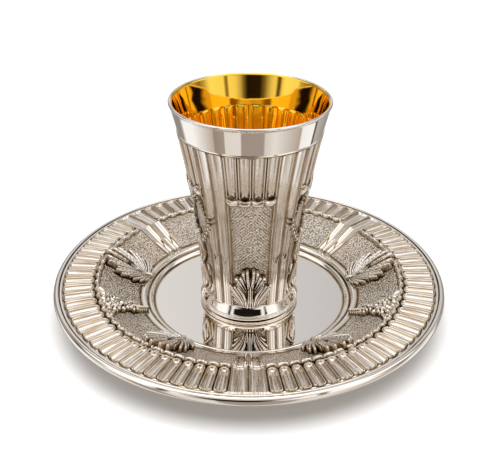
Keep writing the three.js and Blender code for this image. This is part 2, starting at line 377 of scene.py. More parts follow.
class Nodes:
    """Builds a node tree from short calls."""

    def __init__(self, tree):
        self.tree = tree
        tree.nodes.clear()

    def add(self, kind, settings=None, **inputs):
        """A shader node, its settings, and its inputs by name or as i and their number."""
        node = self.tree.nodes.new("ShaderNode" + kind)
        for name, value in (settings or {}).items():
            setattr(node, name, value)
        for name, value in inputs.items():
            self.feed(node, name.replace("_", " "), value)
        return node

    def feed(self, node, key, value):
        socket = node.inputs[int(key[1:])] if key[:1] == "i" and key[1:].isdigit() else node.inputs[key]
        if isinstance(value, bpy.types.NodeSocket):
            self.tree.links.new(value, socket)
        else:
            socket.default_value = value

    def math(self, operation, a, b=0.0, clamp=False):
        """The result of a math node, whose third input is the tolerance of a COMPARE."""
        node = self.add("Math", {"operation": operation, "use_clamp": clamp}, i0=a, i1=b, i2=0.1)
        return node.outputs[0]

    def times(self, a, b, clamp=False):
        return self.math("MULTIPLY", a, b, clamp)

    def plus(self, a, b):
        return self.math("ADD", a, b)

    def minus(self, a, b, clamp=False):
        return self.math("SUBTRACT", a, b, clamp)

    def attribute(self, name):
        """The three values of an attribute that the mesh carries."""
        node = self.add("Attribute", {"attribute_type": "GEOMETRY", "attribute_name": name})
        return self.add("SeparateXYZ", Vector=node.outputs["Vector"]).outputs

    def map_range(self, value, start, end, low=0.0, high=1.0):
        settings = {"interpolation_type": "SMOOTHSTEP"}
        node = self.add("MapRange", settings, i0=value, i1=start, i2=end, i3=low, i4=high)
        return node.outputs[0]

    def noise(self, place, scale, detail):
        return self.add("TexNoise", Vector=place, Scale=scale, Detail=detail).outputs["Fac"]

    def bump(self, strength, distance, height, **inputs):
        node = self.add("Bump", Strength=strength, Distance=distance, Height=height, **inputs)
        return node.outputs["Normal"]

    def mix(self, share, first, second):
        node = self.add("Mix", {"data_type": "RGBA"}, i0=share, i6=first, i7=second)
        return node.outputs[2]

    def ramp(self, value, stops):
        node = self.add("ValToRGB", i0=value)
        elements = node.color_ramp.elements
        while len(elements) < len(stops):
            elements.new(1.0)
        for element, (position, colour) in zip(elements, stops):
            element.position = position
            element.color = colour
        return node.outputs["Color"]


# Darkest colour, of deep dirt and of painted shade in creases and beside ornaments.
DEEP_DIRT_AND_SHADE = (0.02, 0.014, 0.009, 1)


def new_material(name):
    """A material without nodes yet, and the builder for them."""
    material = bpy.data.materials.new(name)
    material.use_nodes = True
    return material, Nodes(material.node_tree)


def metal(name, clean, dirt_and_shade, polish, matted):
    """Metal whose finish attribute holds patina with painted shade, matting and mirror polish, each 0 to 1.

    Its grain attribute holds millimetres across and along the carving, and then what the surface
    carries. Stipple and herringbone show where it is matted, and streaks run along the flutes.
    """
    material, nodes = new_material(name)
    place = nodes.add("TexCoord").outputs["Object"]
    cloud = nodes.noise(place, 160.0, 4.0)
    patina_and_shade, matt, mirror = nodes.attribute("finish")
    across, along, kind = nodes.attribute("grain")

    fine = nodes.noise(place, 1900.0, 2.0)
    cells = nodes.add("TexVoronoi", Vector=place, Scale=1650.0).outputs["Distance"]
    punched = nodes.minus(nodes.times(fine, 1.3), nodes.times(cells, 1.1))

    mirrored = nodes.math("ABSOLUTE", across)
    wander = nodes.plus(nodes.times(cloud, 4.0), nodes.times(fine, 11.0))
    slant = nodes.plus(nodes.times(nodes.plus(mirrored, along), 4.5), wander)
    counter = nodes.minus(nodes.times(nodes.minus(mirrored, along), 4.9), wander)
    crossed = nodes.times(nodes.math("SINE", counter), 0.5)
    hatch = nodes.times(nodes.plus(nodes.math("SINE", slant), crossed), 0.22)
    is_woven = nodes.math("COMPARE", kind, float(HERRINGBONE))
    faded = nodes.times(punched, nodes.minus(1.0, nodes.times(is_woven, 0.3)))
    ground = nodes.plus(faded, nodes.times(hatch, is_woven))

    narrow = nodes.times(across, 3.2)
    long = nodes.times(along, 0.07)
    stretched = nodes.add("CombineXYZ", X=narrow, Y=long).outputs[0]
    drawn = nodes.noise(stretched, 1.0, 3.0)
    is_drawn = nodes.map_range(kind, 1.5, float(FULL_STREAKS))
    streaks = nodes.times(nodes.map_range(drawn, 0.48, 0.6), is_drawn)

    height = nodes.times(ground, matt)
    punches = nodes.bump(1.0, 0.00036, height)
    lines = nodes.bump(0.35, 0.0002, nodes.times(drawn, is_drawn), Normal=punches)
    dented = nodes.plus(1.0, nodes.times(matt, 7.0))
    uneven = nodes.times(cloud, nodes.minus(1.0, mirror))
    bumped = nodes.bump(0.07, 0.0004, nodes.times(uneven, dented), Normal=lines)

    patchy = nodes.times(patina_and_shade, nodes.map_range(cloud, 0.3, 0.7, 0.85, 1.3), clamp=True)
    pits = nodes.times(matt, nodes.map_range(ground, -0.22, 0.16, 0.62, 0.0))
    # Darkened where the patina attribute holds real patina and painted shade, and in the stipple's pits and
    # streaks.
    soiled_and_shaded = nodes.math("MAXIMUM", patchy, nodes.math("MAXIMUM", pits, nodes.times(streaks, 0.42)))
    colour = nodes.ramp(soiled_and_shaded, [(0.0, clean), (0.5, dirt_and_shade), (1.0, DEEP_DIRT_AND_SHADE)])
    roughness = nodes.plus(nodes.times(matt, matted - polish), polish)
    roughness = nodes.plus(roughness, nodes.times(soiled_and_shaded, 0.2))
    shine = nodes.times(mirror, polish - 0.02)
    roughness = nodes.minus(roughness, shine, clamp=True)
    shader = nodes.add("BsdfPrincipled", Base_Color=colour, Metallic=1.0, Roughness=roughness, Normal=bumped)
    nodes.add("OutputMaterial", Surface=shader.outputs[0])
    return material


# Clean colours, colours of dirt and painted shade, and roughness where polished and where matted.
METALS = {
    "silver": metal("silver", (0.95, 0.91, 0.86, 1), (0.52, 0.38, 0.23, 1), 0.12, 0.22),
    "gilding": metal("gilding", (1.0, 0.64, 0.085, 1), (0.8, 0.3, 0.015, 1), 0.07, 0.3),
}


def surface(shape, patina_and_shade=0.0, matt=0.0, mirror=0.0, across=0.0, along=0.0, kind=STIPPLE):
    """The finish and grain attributes' values over a grid."""
    values = [np.broadcast_to(v, shape) for v in (patina_and_shade, matt, mirror, across, along, kind)]
    return {"finish": np.stack(values[:3], -1), "grain": np.stack(values[3:], -1)}


# -------- cup


def wall_radius(height):
    rise = (height - FOOT_HEIGHT) / (FLARE_TOP - FOOT_HEIGHT)
    flare = 0.4 * rise + 0.34 * rise**2 + 0.26 * rise**3
    return WAIST_RADIUS + (MOUTH_RADIUS - WAIST_RADIUS) * flare


def wall_thickness(height):
    """Thicker where the wall carries relief, so that the carving never reaches the lining."""
    return np.interp(height, [56, 66, 73, 80], [RELIEF_WALL, FLUTED_WALL, FLUTED_WALL, WALL])


def wall_normal(height):
    """Outward and upward parts of the wall's normal."""
    slope = (wall_radius(height + 0.1) - wall_radius(height - 0.1)) / 0.2
    length = np.hypot(1, slope)
    return 1 / length, -slope / length


def crowded(edges, count):
    """Azimuths round a ring of channels, count to a channel and closest at its edges."""
    share = np.arange(count) / count
    share = share - 0.07 * np.sin(2 * np.pi * share)
    widths = np.diff(np.append(edges, edges[0] + 360))
    return (edges[:, None] + widths[:, None] * share).ravel()


def from_bay(azimuth):
    """Signed angle from the middle of the nearest bay's panel."""
    return azimuth - np.round(azimuth * BAYS / 360) * 360 / BAYS


def cup_columns():
    edges = []
    for bay in range(BAYS):
        start = 360 * bay / BAYS - PANEL_ARC / 2
        edges.extend(start + PANEL_CHANNEL * i for i in range(4))
        edges.extend(start + PANEL_ARC + PILASTER_CHANNEL * i for i in range(2))
    return crowded(np.array(edges), 22)


def flute_section(across, depth, gap):
    """Height, and dirt with painted shade in its creases, across a hollow flute with a raised rim, from 0 in
    its middle to 1 outside it.

    A groove lies outside the rim and takes the share of the width that gap says.
    """
    rim_at = 0.9 - gap
    hollow = np.where(across < rim_at - 0.1, -depth * dome(across / (rim_at - 0.1)), 0)
    rim = 0.35 * dome((across - rim_at) / 0.12)
    groove = -0.9 * ramp(across, 1 - gap, 1 - gap / 3)
    # Painted shade in the groove outside the rim and along the rim's inner foot.
    dirt_and_shade = ramp(across, 1 - 1.1 * gap, 1 - 0.6 * gap) + 0.5 * spot((across - rim_at + 0.12) / 0.06)
    return hollow + rim + groove, dirt_and_shade


def cabled_section(across, depth, hollow_width):
    """Height, and dirt with painted shade in its creases, across a broad channel that a cable fills where its
    hollow has narrowed to nothing.
    """
    hollow = -depth * dome(across / 0.84) ** 0.8
    cable = -0.8 * depth + 0.75 * depth * dome(across / 0.84)
    is_hollow = ramp(hollow_width - across, -0.06, 0.08)
    body = np.where(across < 0.84, hollow * is_hollow + cable * (1 - is_hollow), 0)
    edge = spot((1 - across) / 0.07)
    turn = spot((hollow_width - across) / 0.07) * (hollow_width > 0) * (hollow_width < 0.85)
    # Painted shade along the channel's edges, beside the cable and where the hollow turns into it.
    dirt_and_shade = edge + 0.6 * spot((across - 0.82) / 0.05) + 0.45 * turn
    return body - 0.35 * edge, dirt_and_shade


def cup_relief(azimuth, height):
    """Carving over the smooth wall, its dirt and painted shade, and where it is matted ground, on a grid."""
    from_middle = from_bay(azimuth)
    aside = np.abs(from_middle)
    below_band = 1 - ramp(height, BAND_FOOT - 1.0, BAND_FOOT - 0.2)

    channel = across_channel(from_middle, PANEL_CHANNEL)
    flutes_end = SCALLOP_HEIGHT + 2.5
    foot = flutes_end - SCALLOP_SAG * dome(channel)
    into_end = np.clip(flutes_end - height, 0, None) / SCALLOP_SAG
    reach = np.hypot(channel, into_end)
    flute, flute_dirt_and_shade = flute_section(reach, CUP_FLUTE_DEPTH, 0.09)
    under = foot - height
    cusp = ramp(channel, 0.8, 1.0)
    roll = (GROUND_DEPTH + 0.8) * dome((under - 1.35) / 1.35) ** 0.7 * (1 - 0.3 * cusp) - GROUND_DEPTH
    # Painted shade in the crease over the roll, painted shadow under it, and darker at the cusps between
    # rolls.
    roll_shade = 0.9 * spot(under / 0.3) + spot((under - 2.9) / 0.6) + 0.9 * spot(under / 1.2) * cusp
    # Dirt and painted shade in the rounded end of each flute.
    end_dirt_and_shade = ramp(-under, 1.7, 0.5) * dome(channel / 0.75)
    edge_fillet = ramp(aside, PANEL_ARC / 2 - 1.3, PANEL_ARC / 2 - 0.5) * (reach >= 1)
    panel = np.where(reach < 1, flute, roll) * (1 - edge_fillet)
    # Painted shade on the ground at the foot of the panel's edge fillets.
    foot_of_fillet = 0.6 * spot((aside - PANEL_ARC / 2 + 1.5) / 0.7) * (under > 2.7)
    panel_dirt_and_shade = np.where(reach < 1, flute_dirt_and_shade + end_dirt_and_shade, roll_shade + foot_of_fillet)

    across = across_channel(aside - PANEL_ARC / 2, PILASTER_CHANNEL)
    narrowing = np.clip((height - 24.8) / 4.7, 0, 1) * 0.95
    pilaster, pilaster_dirt_and_shade = cabled_section(across, CUP_FLUTE_DEPTH, narrowing)

    in_panel = aside < PANEL_ARC / 2
    relief = np.where(in_panel, panel, pilaster) * below_band
    dirt_and_shade = np.where(in_panel, panel_dirt_and_shade, pilaster_dirt_and_shade)
    # Painted shade just under the bead at the band's foot.
    dirt_and_shade = np.clip(dirt_and_shade + 0.5 * spot((height - BAND_FOOT + 0.1) / 0.4), 0, 1)
    is_ground = in_panel * (under > 2.6) * (1 - edge_fillet)
    return relief, dirt_and_shade, is_ground


def foot_profile():
    """Radius and height from the recess under the foot, round the beads, to the waist."""
    return [
        (16.2, 1.6), (16.5, 1.4), (16.6, 0.25), (16.85, 0.0), (18.4, 0.0), (18.75, 0.12),
        *arc((19.05, 0.82), (0.58, 0.6), -60, 75, 10),
        (19.25, 1.5), (19.35, 1.56), (19.55, 1.62), (19.72, 1.78), (19.78, 2.0), (19.74, 2.25), (19.62, 2.55),
        (19.3, 3.05), (19.01, 3.58), (18.7, 4.13), (18.4, 4.68), (18.11, 5.2), (18.04, 5.4), (17.96, 5.55),
        (17.9, 5.62),
    ]


def lip_profile():
    """The rolled lip, from outside the mouth to inside it."""
    return [
        (MOUTH_RADIUS - 0.12, CUP_HEIGHT - 1.0),
        *arc((MOUTH_RADIUS - 0.5, CUP_HEIGHT - 0.48), (0.5, 0.48), -30, 180, 12),
    ]


def spread(profile, columns):
    """A profile's radii and heights repeated round the columns."""
    profile = np.asarray(profile, float)
    return np.repeat(profile[:, :1], len(columns), 1), np.repeat(profile[:, 1:], len(columns), 1)


def stacked(parts):
    """Radii and heights of runs of rows, one run after the other."""
    return np.concatenate([part[0] for part in parts]), np.concatenate([part[1] for part in parts])


def cup_surface(shape, walls, foot, azimuth, height, dirt_and_shade, is_ground):
    """Polish on the foot and the band, and the carving's finish with its dirt and painted shade on the rows
    of the walls.
    """
    patina_and_shade, matt, mirror, across, along, kind = (np.zeros(shape) for _ in range(6))
    # Painted shade in the groove between the foot's beads.
    patina_and_shade[: walls.start] = 0.8 * spot((np.array(foot)[:, 1:] - 1.52) / 0.14)
    patina_and_shade[walls] = dirt_and_shade
    # Painted shade on the band's first rows, at its foot.
    patina_and_shade[walls.stop : walls.stop + 2] = 0.6
    matt[walls] = is_ground
    mirror[: walls.start] = 0.9
    mirror[walls.stop :] = 0.8
    across[walls] = np.radians(from_bay(azimuth)) * wall_radius(height)
    along[walls] = height
    kind[walls] = np.where(is_ground > 0.5, HERRINGBONE, FAINT_STREAKS)
    return surface(shape, patina_and_shade, matt, mirror, across, along, kind)


def cup():
    columns = cup_columns()
    lower = [(8, 0.7), (24, 2.7), (30.2, 0.52), (50.2, 4)]
    upper = [(58.2, 0.27), (71.8, 3.4), (BAND_FOOT, 0.32)]
    heights = spaced(5.85, *lower, *upper)
    azimuth, height = np.meshgrid(columns, heights)
    relief, dirt_and_shade, is_ground = cup_relief(azimuth, height)
    outward, upward = wall_normal(height)
    wall = (wall_radius(height) + outward * relief, height + upward * relief)

    band_rows = [(73.9, 0.1), (74.3, 0.2), (CUP_HEIGHT - 3.0, 3.0), (CUP_HEIGHT - 1.2, 0.3)]
    band_height = spaced(73.5, *band_rows)
    edge = 0.24 * dome((band_height - 73.75) / 0.3)
    band = np.stack([wall_radius(band_height) + edge, band_height], 1)
    hidden = [(wall_radius(t) - wall_thickness(t) + 0.12, t) for t in np.linspace(82, 4, 12)]
    foot = foot_profile()
    above = (spread(profile, columns) for profile in (band, lip_profile(), hidden))
    radius, rise = stacked([spread(foot, columns), wall, *above])

    walls = slice(len(foot), len(foot) + len(heights))
    layers = cup_surface(radius.shape, walls, foot, azimuth, height, dirt_and_shade, is_ground)
    grid = round_about(radius, columns + CUP_TURN, rise + CUP_AT)
    add_turned("cup", grid, layers, "silver", "cup")


def cup_lining():
    """The gilt inside, with the flutes showing faintly in reverse below the smooth band."""
    columns = np.arange(0, 360, 0.8)
    upper = [(73.6, 0.2), (CUP_HEIGHT - 1.6, 1.2), (CUP_HEIGHT - 0.6, 0.3)]
    heights = spaced(4.6, (50, 4.5), (71, 2.0), *upper)
    azimuth, height = np.meshgrid(columns, heights)
    from_middle = from_bay(azimuth)
    aside = np.abs(from_middle)
    across = np.where(
        aside < PANEL_ARC / 2,
        across_channel(from_middle, PANEL_CHANNEL),
        across_channel(aside - PANEL_ARC / 2, PILASTER_CHANNEL),
    )
    below_band = ramp(height, BAND_FOOT - 0.2, BAND_FOOT - 1.2)
    section = 0.3 * dome(across / 0.68) - 0.2 * dome((across - 0.84) / 0.15)
    flutes = section * below_band * ramp(height, 8, 20)
    inner = wall_radius(height) - wall_thickness(height) - flutes
    floor_rows = [(16.1, FLOOR + 0.9), (15.2, FLOOR + 0.35), (13.0, FLOOR + 0.02), (8.0, FLOOR)]
    back = [(wall_radius(t) - wall_thickness(t) + 0.06, t) for t in np.linspace(4, 82, 12)]
    lip = [(0.75, 0.5), (0.8, 0.2), (0.95, 0.25)]
    lip = [(MOUTH_RADIUS - inwards, CUP_HEIGHT - down) for inwards, down in lip]
    # Rows run from under the floor up the hidden back and down the side that shows, so that
    # normals face inwards.
    hidden = [(9.0, FLOOR - 0.5), *back, *lip]
    shown = (inner[::-1], height[::-1])
    radius, rise = stacked([spread(hidden, columns), shown, spread(floor_rows, columns)])
    patina_and_shade = np.zeros(radius.shape)
    # Darker along the edges of the reversed flutes below the band, and darker towards the bottom.
    dirt_and_shade = 0.75 * ramp(across, 0.8, 1.0) * below_band + 0.25 * ramp(height, 74, 66)
    patina_and_shade[len(hidden) : len(hidden) + len(heights)] = dirt_and_shade[::-1]
    grid = round_about(radius, columns + CUP_TURN, rise + CUP_AT)
    add_turned("cup_lining", grid, surface(radius.shape, patina_and_shade, 0.0, 0.6), "gilding")


def cup_place(centre, reference):
    """Places x and y in millimetres on the cup's ground, x measured at a reference radius."""

    def place(x, y, relief):
        outward, upward = wall_normal(y)
        radius = wall_radius(y) + outward * (relief - GROUND_DEPTH)
        azimuth = centre + np.degrees(x / reference) + CUP_TURN
        return round_about(radius, azimuth, y + upward * (relief - GROUND_DEPTH) + CUP_AT)

    return place


def palmette_relief():
    """A palmette: a fan of paired fingers on a triple stem."""
    r = Relief(np.linspace(-8.3, 8.3, 118), np.linspace(5.9, 25.6, 142))
    fan = [
        # root x, root y, tip x, tip y, half width, rise, bend
        (3.3, 6.1, 5.0, 7.9, 0.5, 1.5, -0.05),
        (3.0, 6.2, 6.2, 9.6, 0.6, 1.7, -0.05),
        (2.8, 6.4, 6.9, 12.2, 0.7, 2.0, -0.06),
        (2.5, 6.6, 7.6, 15.6, 0.9, 2.5, -0.06),
        (2.1, 6.8, 5.8, 15.4, 0.7, 2.3, -0.08),
        (1.7, 7.0, 4.2, 15.6, 1.0, 2.6, -0.1),
        (1.2, 9.5, 4.5, 17.2, 0.8, 2.7, -0.14),
        (1.1, 9.5, 5.0, 19.6, 1.0, 3.0, -0.14),
        (0.9, 10.5, 3.4, 20.2, 0.9, 3.1, -0.1),
        (0.7, 12.0, 2.5, 22.6, 0.85, 3.3, -0.06),
        (0.4, 12.5, 1.1, 23.4, 0.8, 3.4, 0.0),
    ]
    for x0, y0, x1, y1, width, rise, bend in fan:
        for side in (-1, 1):
            root, tip = (side * x0, y0), (side * x1, y1)
            r.finger(root, tip, width, rise, -side * bend, groove=0.15, point=0.1, cut=1.0)
    for side in (-1, 1):
        stem = curve((side * 1.15, 5.8), (side * 0.65, 15.0), side * 0.03, np.linspace(0, 1, 6))
        r.stroke(stem, 0.4, [1.9, 2.0, 2.2, 2.4, 2.6, 2.7], cut=0.8)
    r.stroke([(0, 5.8), (0, 16.5)], [0.4, 0.45], [1.9, 2.9], cut=0.9)
    return r.grounded(14)


def garland_relief():
    """Beaded swags that meet at the panel's edges over strap loops with drops."""
    r = Relief(np.linspace(-9.4, 9.4, 96), np.linspace(6.2, 58.0, 270))
    along = np.linspace(0, 1, 40)
    for side in (-1, 1):
        # Laurel garland from the rosette at the scallops out to the edge and back in to the lower loop.
        top, low = np.array([side * 2.2, 51.5]), np.array([side * 1.2, 30.5])
        swag = top + along[:, None] * (low - top)
        swag[:, 0] += side * 6.3 * np.sin(np.pi * along**0.9)
        r.stroke(swag, 0.34, 1.25)
        for i, (x, y) in enumerate(swag[1:-1:2]):
            r.bead((x, y), 0.62, 1.9)
            lean = side * (1 if i % 2 else -1)
            r.finger((x, y), (x + lean * 1.25, y - 1.3), 0.42, 1.6)
        # Strap loops with their inner drops.
        for low_y, high_y, bulge in ((20.0, 33.0, 3.4), (7.4, 19.4, 5.6)):
            loop_y = high_y - (high_y - low_y) * along
            loop_x = side * bulge * np.sin(np.pi * along**1.35) ** 0.8
            r.stroke(np.stack([loop_x, loop_y], 1), 0.42, 1.7, groove=0.4)
        r.finger((side * 0.5, 8.6), (side * 2.6, 14.6), 0.75, 1.7, -side * 0.15, groove=0.3)
        r.finger((side * 4.6, 7.2), (side * 7.6, 12.6), 0.7, 1.6, -side * 0.1, groove=0.3)
        r.finger((side * 4.2, 20.4), (side * 6.8, 17.2), 0.55, 1.5, side * 0.1)
        for degrees in np.linspace(-100, 160, 12):
            scroll = 1.1 + 0.9 * (degrees + 100) / 260
            turn = math.radians(degrees)
            r.bead((side * (6.4 + scroll * math.cos(turn)), 54.3 + scroll * math.sin(turn)), 0.5, 1.8)
        r.bead((side * 6.4, 54.3), 0.75, 2.0)
    for petal in range(6):
        r.finger((0, 53.4), towards((0, 53.4), 2.1, 60 * petal + 30), 0.75, 1.9)
    r.bead((0, 53.4), 0.7, 2.3)
    for y, radius in ((50.6, 0.7), (49.0, 0.6), (47.6, 0.5), (46.4, 0.4)):
        r.bead((0, y), radius, 1.7)
    r.finger((0, 31.5), (0, 23.0), 0.95, 1.9, groove=0.3)
    r.finger((0, 17.5), (0, 9.5), 1.1, 1.9, groove=0.3)
    r.bead((0, 34.0), 1.0, 2.0)
    r.bead((0, 19.9), 1.0, 2.0)
    return r.grounded(14)


def ornament_layers(r):
    """An ornament's surface: dirt and painted shade in its creases and low on its walls, and painted shade on
    the matted ground beside it.
    """
    is_ground = (r.height > 0) & (r.height < 0.06)
    near = np.clip(blurred(r.height, 5) / 0.5, 0, 1) ** 0.8
    far = np.clip(blurred(r.height, 24) / 1.2, 0, 1)
    shade = np.maximum(near, 0.6 * far) * is_ground
    # Painted shade low on the strokes' walls, added to the dirt and shade along their edges.
    carving_shade = (r.dirt_and_shade + 0.35 * ramp(r.height, 1.0, 0.1)) * ~is_ground
    patina_and_shade = np.clip(shade + carving_shade, 0, 1)
    return surface(patina_and_shade.shape, patina_and_shade, is_ground)


def add_ornament(name, place, r):
    add_patch(name, place, r.xs, r.ys, r.height, ornament_layers(r))


def cup_ornaments():
    palmette, garland = palmette_relief(), garland_relief()
    for bay in PALMETTE_BAYS:
        add_ornament(f"cup_palmette_{bay}", cup_place(360 * bay / BAYS, wall_radius(12.0)), palmette)
    for bay in GARLAND_BAYS:
        add_ornament(f"cup_garland_{bay}", cup_place(360 * bay / BAYS, wall_radius(30.0)), garland)


# -------- saucer


def field_height(radius):
    share = np.clip((radius - FIELD_INNER) / (FIELD_OUTER - FIELD_INNER), 0, None)
    return FIELD_FOOT + (BORDER_HEIGHT - 0.4 - FIELD_FOOT) * share**FIELD_SWEEP


def moulding_profile():
    """Radius and height of the beads round the well, from the field's foot in to the well."""
    return [
        (43.7, 6.1),
        *arc((42.75, 5.0), (1.15, 1.15), 75, 170, 9),
        (41.35, 4.6), (41.0, 4.5),
        *arc((40.25, 4.35), (0.65, 0.6), 45, 165, 7),
        (39.2, 4.0), (38.7, 3.65),
        (WELL_RADIUS, WELL_HEIGHT),
    ]


def rim_profile():
    """The rolled rim, from under it round to the flat edge inside it."""
    centre = (SAUCER_RADIUS - RIM_ROLL[0], RIM_HEIGHT)
    return [
        *arc(centre, RIM_ROLL, -140, 125, 28),
        (75.95, 13.35), (75.8, 13.2), (75.66, 13.2), (75.55, 13.4),
        (75.4, 13.48), (75.1, 13.5), (74.75, 13.46), (74.6, 13.35), (74.5, 12.4),
    ]


def under_profile():
    """The underside, from its middle out over the foot ring to the rim."""
    slope = [(r, field_height(r) - 1.6) for r in (46.5, 49, 52, 55, 57.5, 59.5)]
    return [
        (20, 1.9), (40.9, 1.9), (41.2, 1.75), (41.35, 0.25), (41.6, 0.0), (43.5, 0.0), (43.75, 0.25),
        (44.6, 3.8), *slope, (62.6, 11.2), (66, 11.05), (70, 11.1), (74.5, 11.2), (75.6, 11.2),
    ]


def saucer():
    field_radii = (60.2, 59.6, 58.5, 57, 55.5, 54, 52.5, 51, 49.5, 48, 46.5, 45.2, 44.3)
    field = [(r, field_height(r)) for r in field_radii]
    well = [(37.9, WELL_HEIGHT), (37.5, WELL_HEIGHT), (36, WELL_HEIGHT), (20, WELL_HEIGHT)]
    under, rim, mouldings = under_profile(), rim_profile(), moulding_profile()
    profile = [*under, *rim, (61.4, 12.4), *field, *mouldings, *well]
    columns = np.arange(0, 360, 1.0)
    radius, rise = spread(profile, columns)
    line = np.array(profile)
    start = len(under) + len(rim) + 1
    end = start + len(field)
    patina_and_shade, matt, mirror = (np.zeros(radius.shape) for _ in range(3))
    shade = sum(spot(angle_from(centre, columns) / 9.5) for centre in LEAVES_AT)
    matt[start:end] = 1
    patina_and_shade[start:end] = 0.3 * shade
    # Painted shade in the hollows between the well's beads.
    bead_shade = ramp(blurred(line[:, 1:], 2)[:, 0] - line[:, 1], 0.02, 0.2)
    patina_and_shade[end : end + len(mouldings)] = 0.9 * bead_shade[end : end + len(mouldings), None]
    # Painted shade along the grooves round the well.
    for groove in (44.3, 41.2, 38.6):
        patina_and_shade[end - 1 :] = np.maximum(patina_and_shade[end - 1 :], 0.9 * spot((line[end - 1 :, :1] - groove) / 0.35))
    # Painted shade in the groove inside the rolled rim.
    patina_and_shade[np.abs(line[:, 0] - 75.78) < 0.2] = 0.9
    mirror[len(under) : start] = 0.9
    mirror[end:] = 0.7
    mirror[-len(well) :] = 1
    layers = surface(radius.shape, np.clip(patina_and_shade, 0, 1), matt, mirror)
    add_turned("saucer", round_about(radius, columns, rise), layers, "silver", "saucer")


def saucer_edges():
    """Azimuths of the channels' edges all the way round, from the front column."""
    start, span = COLUMN_ARC / 2, REAR_COLUMN_AT - COLUMN_ARC
    share = np.arange(1, SIDE_FLUTES + 1) / SIDE_FLUTES
    side = start + span * (share + FLUTE_SPREAD * (share * share - share))
    rear_start = REAR_COLUMN_AT + COLUMN_ARC / 2
    rear = rear_start + (180 - rear_start) * np.arange(1, REAR_FLUTES + 1) / REAR_FLUTES
    right = np.array([0, start, *side, REAR_COLUMN_AT, rear_start, *rear])
    return np.concatenate([right, 360 - right[1:-1][::-1]])


def at_column(azimuth):
    """Whether an azimuth lies within one of the columns."""
    away = [np.abs(angle_from(centre, azimuth)) for centre in COLUMNS_AT]
    return np.min(away, 0) < COLUMN_ARC / 2


def border_relief(azimuth, radius, edges):
    """Carving of the border over its crowned top, with its dirt and painted shade, on a grid of azimuths and
    radii.
    """
    index = np.searchsorted(edges, azimuth % 360, side="right") - 1
    low = edges[index]
    high = np.append(edges[1:], 360)[index]
    across = np.abs(2 * (azimuth % 360 - low) / (high - low) - 1)
    half = np.radians((high - low) / 2) * radius
    inner_end = np.clip(FLUTES_INNER + 0.9 * half - radius, 0, None) / (0.9 * half)
    outer_end = np.clip(radius - (FLUTES_OUTER - 0.35 * half), 0, None) / (0.35 * half)
    reach = np.hypot(across, inner_end + outer_end)
    flute, flute_dirt_and_shade = flute_section(reach, SAUCER_FLUTE_DEPTH, 0.15)
    cusp = ramp(across, 0.72, 1.0)
    scallop = -0.7 + 1.8 * dome((reach - 1.5) / 0.47) * (1 - 0.4 * cusp)
    # Painted shadow in the creases on either side of the scallop roll, and darker at its cusps.
    scallop_shade = spot((reach - 1.03) / 0.13) + spot((reach - 2.02) / 0.16)
    scallop_shade = scallop_shade + 0.9 * cusp * spot((reach - 1.25) / 0.3)
    corner = -0.6 * ramp(reach, 1.35, 1.0)
    # Painted shade in the pit where the flutes' outer ends meet.
    corner_shade = ramp(reach, 1.4, 1.02)
    is_inner = radius < BORDER_MIDDLE
    relief = np.where(reach < 1, flute, np.where(is_inner, scallop, corner))
    dirt_and_shade = np.where(reach < 1, flute_dirt_and_shade, np.where(is_inner, scallop_shade, corner_shade))

    is_column = at_column(azimuth)
    closed = ramp(radius, FLUTES_OUTER - 1.0, FLUTES_OUTER - 0.2)
    broad, broad_dirt_and_shade = cabled_section(across, SAUCER_FLUTE_DEPTH, np.ones_like(across))
    relief = np.where(is_column, broad * (1 - closed), relief)
    return relief, np.clip(np.where(is_column, broad_dirt_and_shade * (1 - closed), dirt_and_shade), 0, 1)


def saucer_border():
    edges = saucer_edges()
    columns = crowded(edges, 16)
    radii = spaced(BORDER_START, (64.6, 0.23), (72.0, 1.3), (BORDER_END, 0.22))[::-1]
    azimuth, radius = np.meshgrid(columns, radii)
    relief, dirt_and_shade = border_relief(azimuth, radius, edges)
    crown = BORDER_HEIGHT + 0.45 * dome((radius - 66.5) / 9.0)
    top = field_height(radius) + (crown - field_height(radius)) * ramp(radius, 59.2, 60.6)
    at_edge = ramp(radius, 74.8, 74.3)
    top = 13.3 + (top - 13.3) * at_edge
    carving = relief * ramp(radius, BORDER_START, 59.5) * at_edge
    shown = top + carving - 0.2 * ramp(radius, 59.2, BORDER_START)
    under = [(BORDER_START, 11.3), (BORDER_MIDDLE, 12.0), (BORDER_END, 12.2)]
    under_radius, under_rise = spread(under, columns)
    all_radius = np.concatenate([radius, under_radius])
    patina_and_shade, across, along, kind = (np.zeros(all_radius.shape) for _ in range(4))
    patina_and_shade[: len(radii)] = dirt_and_shade
    across[: len(radii)] = np.radians(azimuth) * BORDER_MIDDLE
    along[: len(radii)] = radius
    kind[: len(radii)] = FULL_STREAKS
    layers = surface(all_radius.shape, patina_and_shade, across=across, along=along, kind=kind)
    grid = round_about(all_radius, columns, np.concatenate([shown, under_rise]))
    add_ring("saucer_border", grid, layers)


def saucer_ground(radius):
    """Height of the saucer's top where ornaments stand, from the well's moulding to the border."""
    moulding = FIELD_FOOT - 0.5 * np.clip(42.8 - radius, 0, None)
    return np.where(radius > FIELD_INNER, field_height(radius), moulding)


def saucer_place(centre):
    """Places x along the azimuth and y in from the border, in millimetres; y is minus the radius."""

    def place(x, y, relief):
        radius = -y
        slope = (saucer_ground(radius + 0.3) - saucer_ground(radius - 0.3)) / 0.6
        length = np.hypot(1, slope)
        azimuth = centre + np.degrees(x / FIELD_REFERENCE)
        height = saucer_ground(radius) + relief / length
        return round_about(radius - relief * slope / length, azimuth, height)

    return place


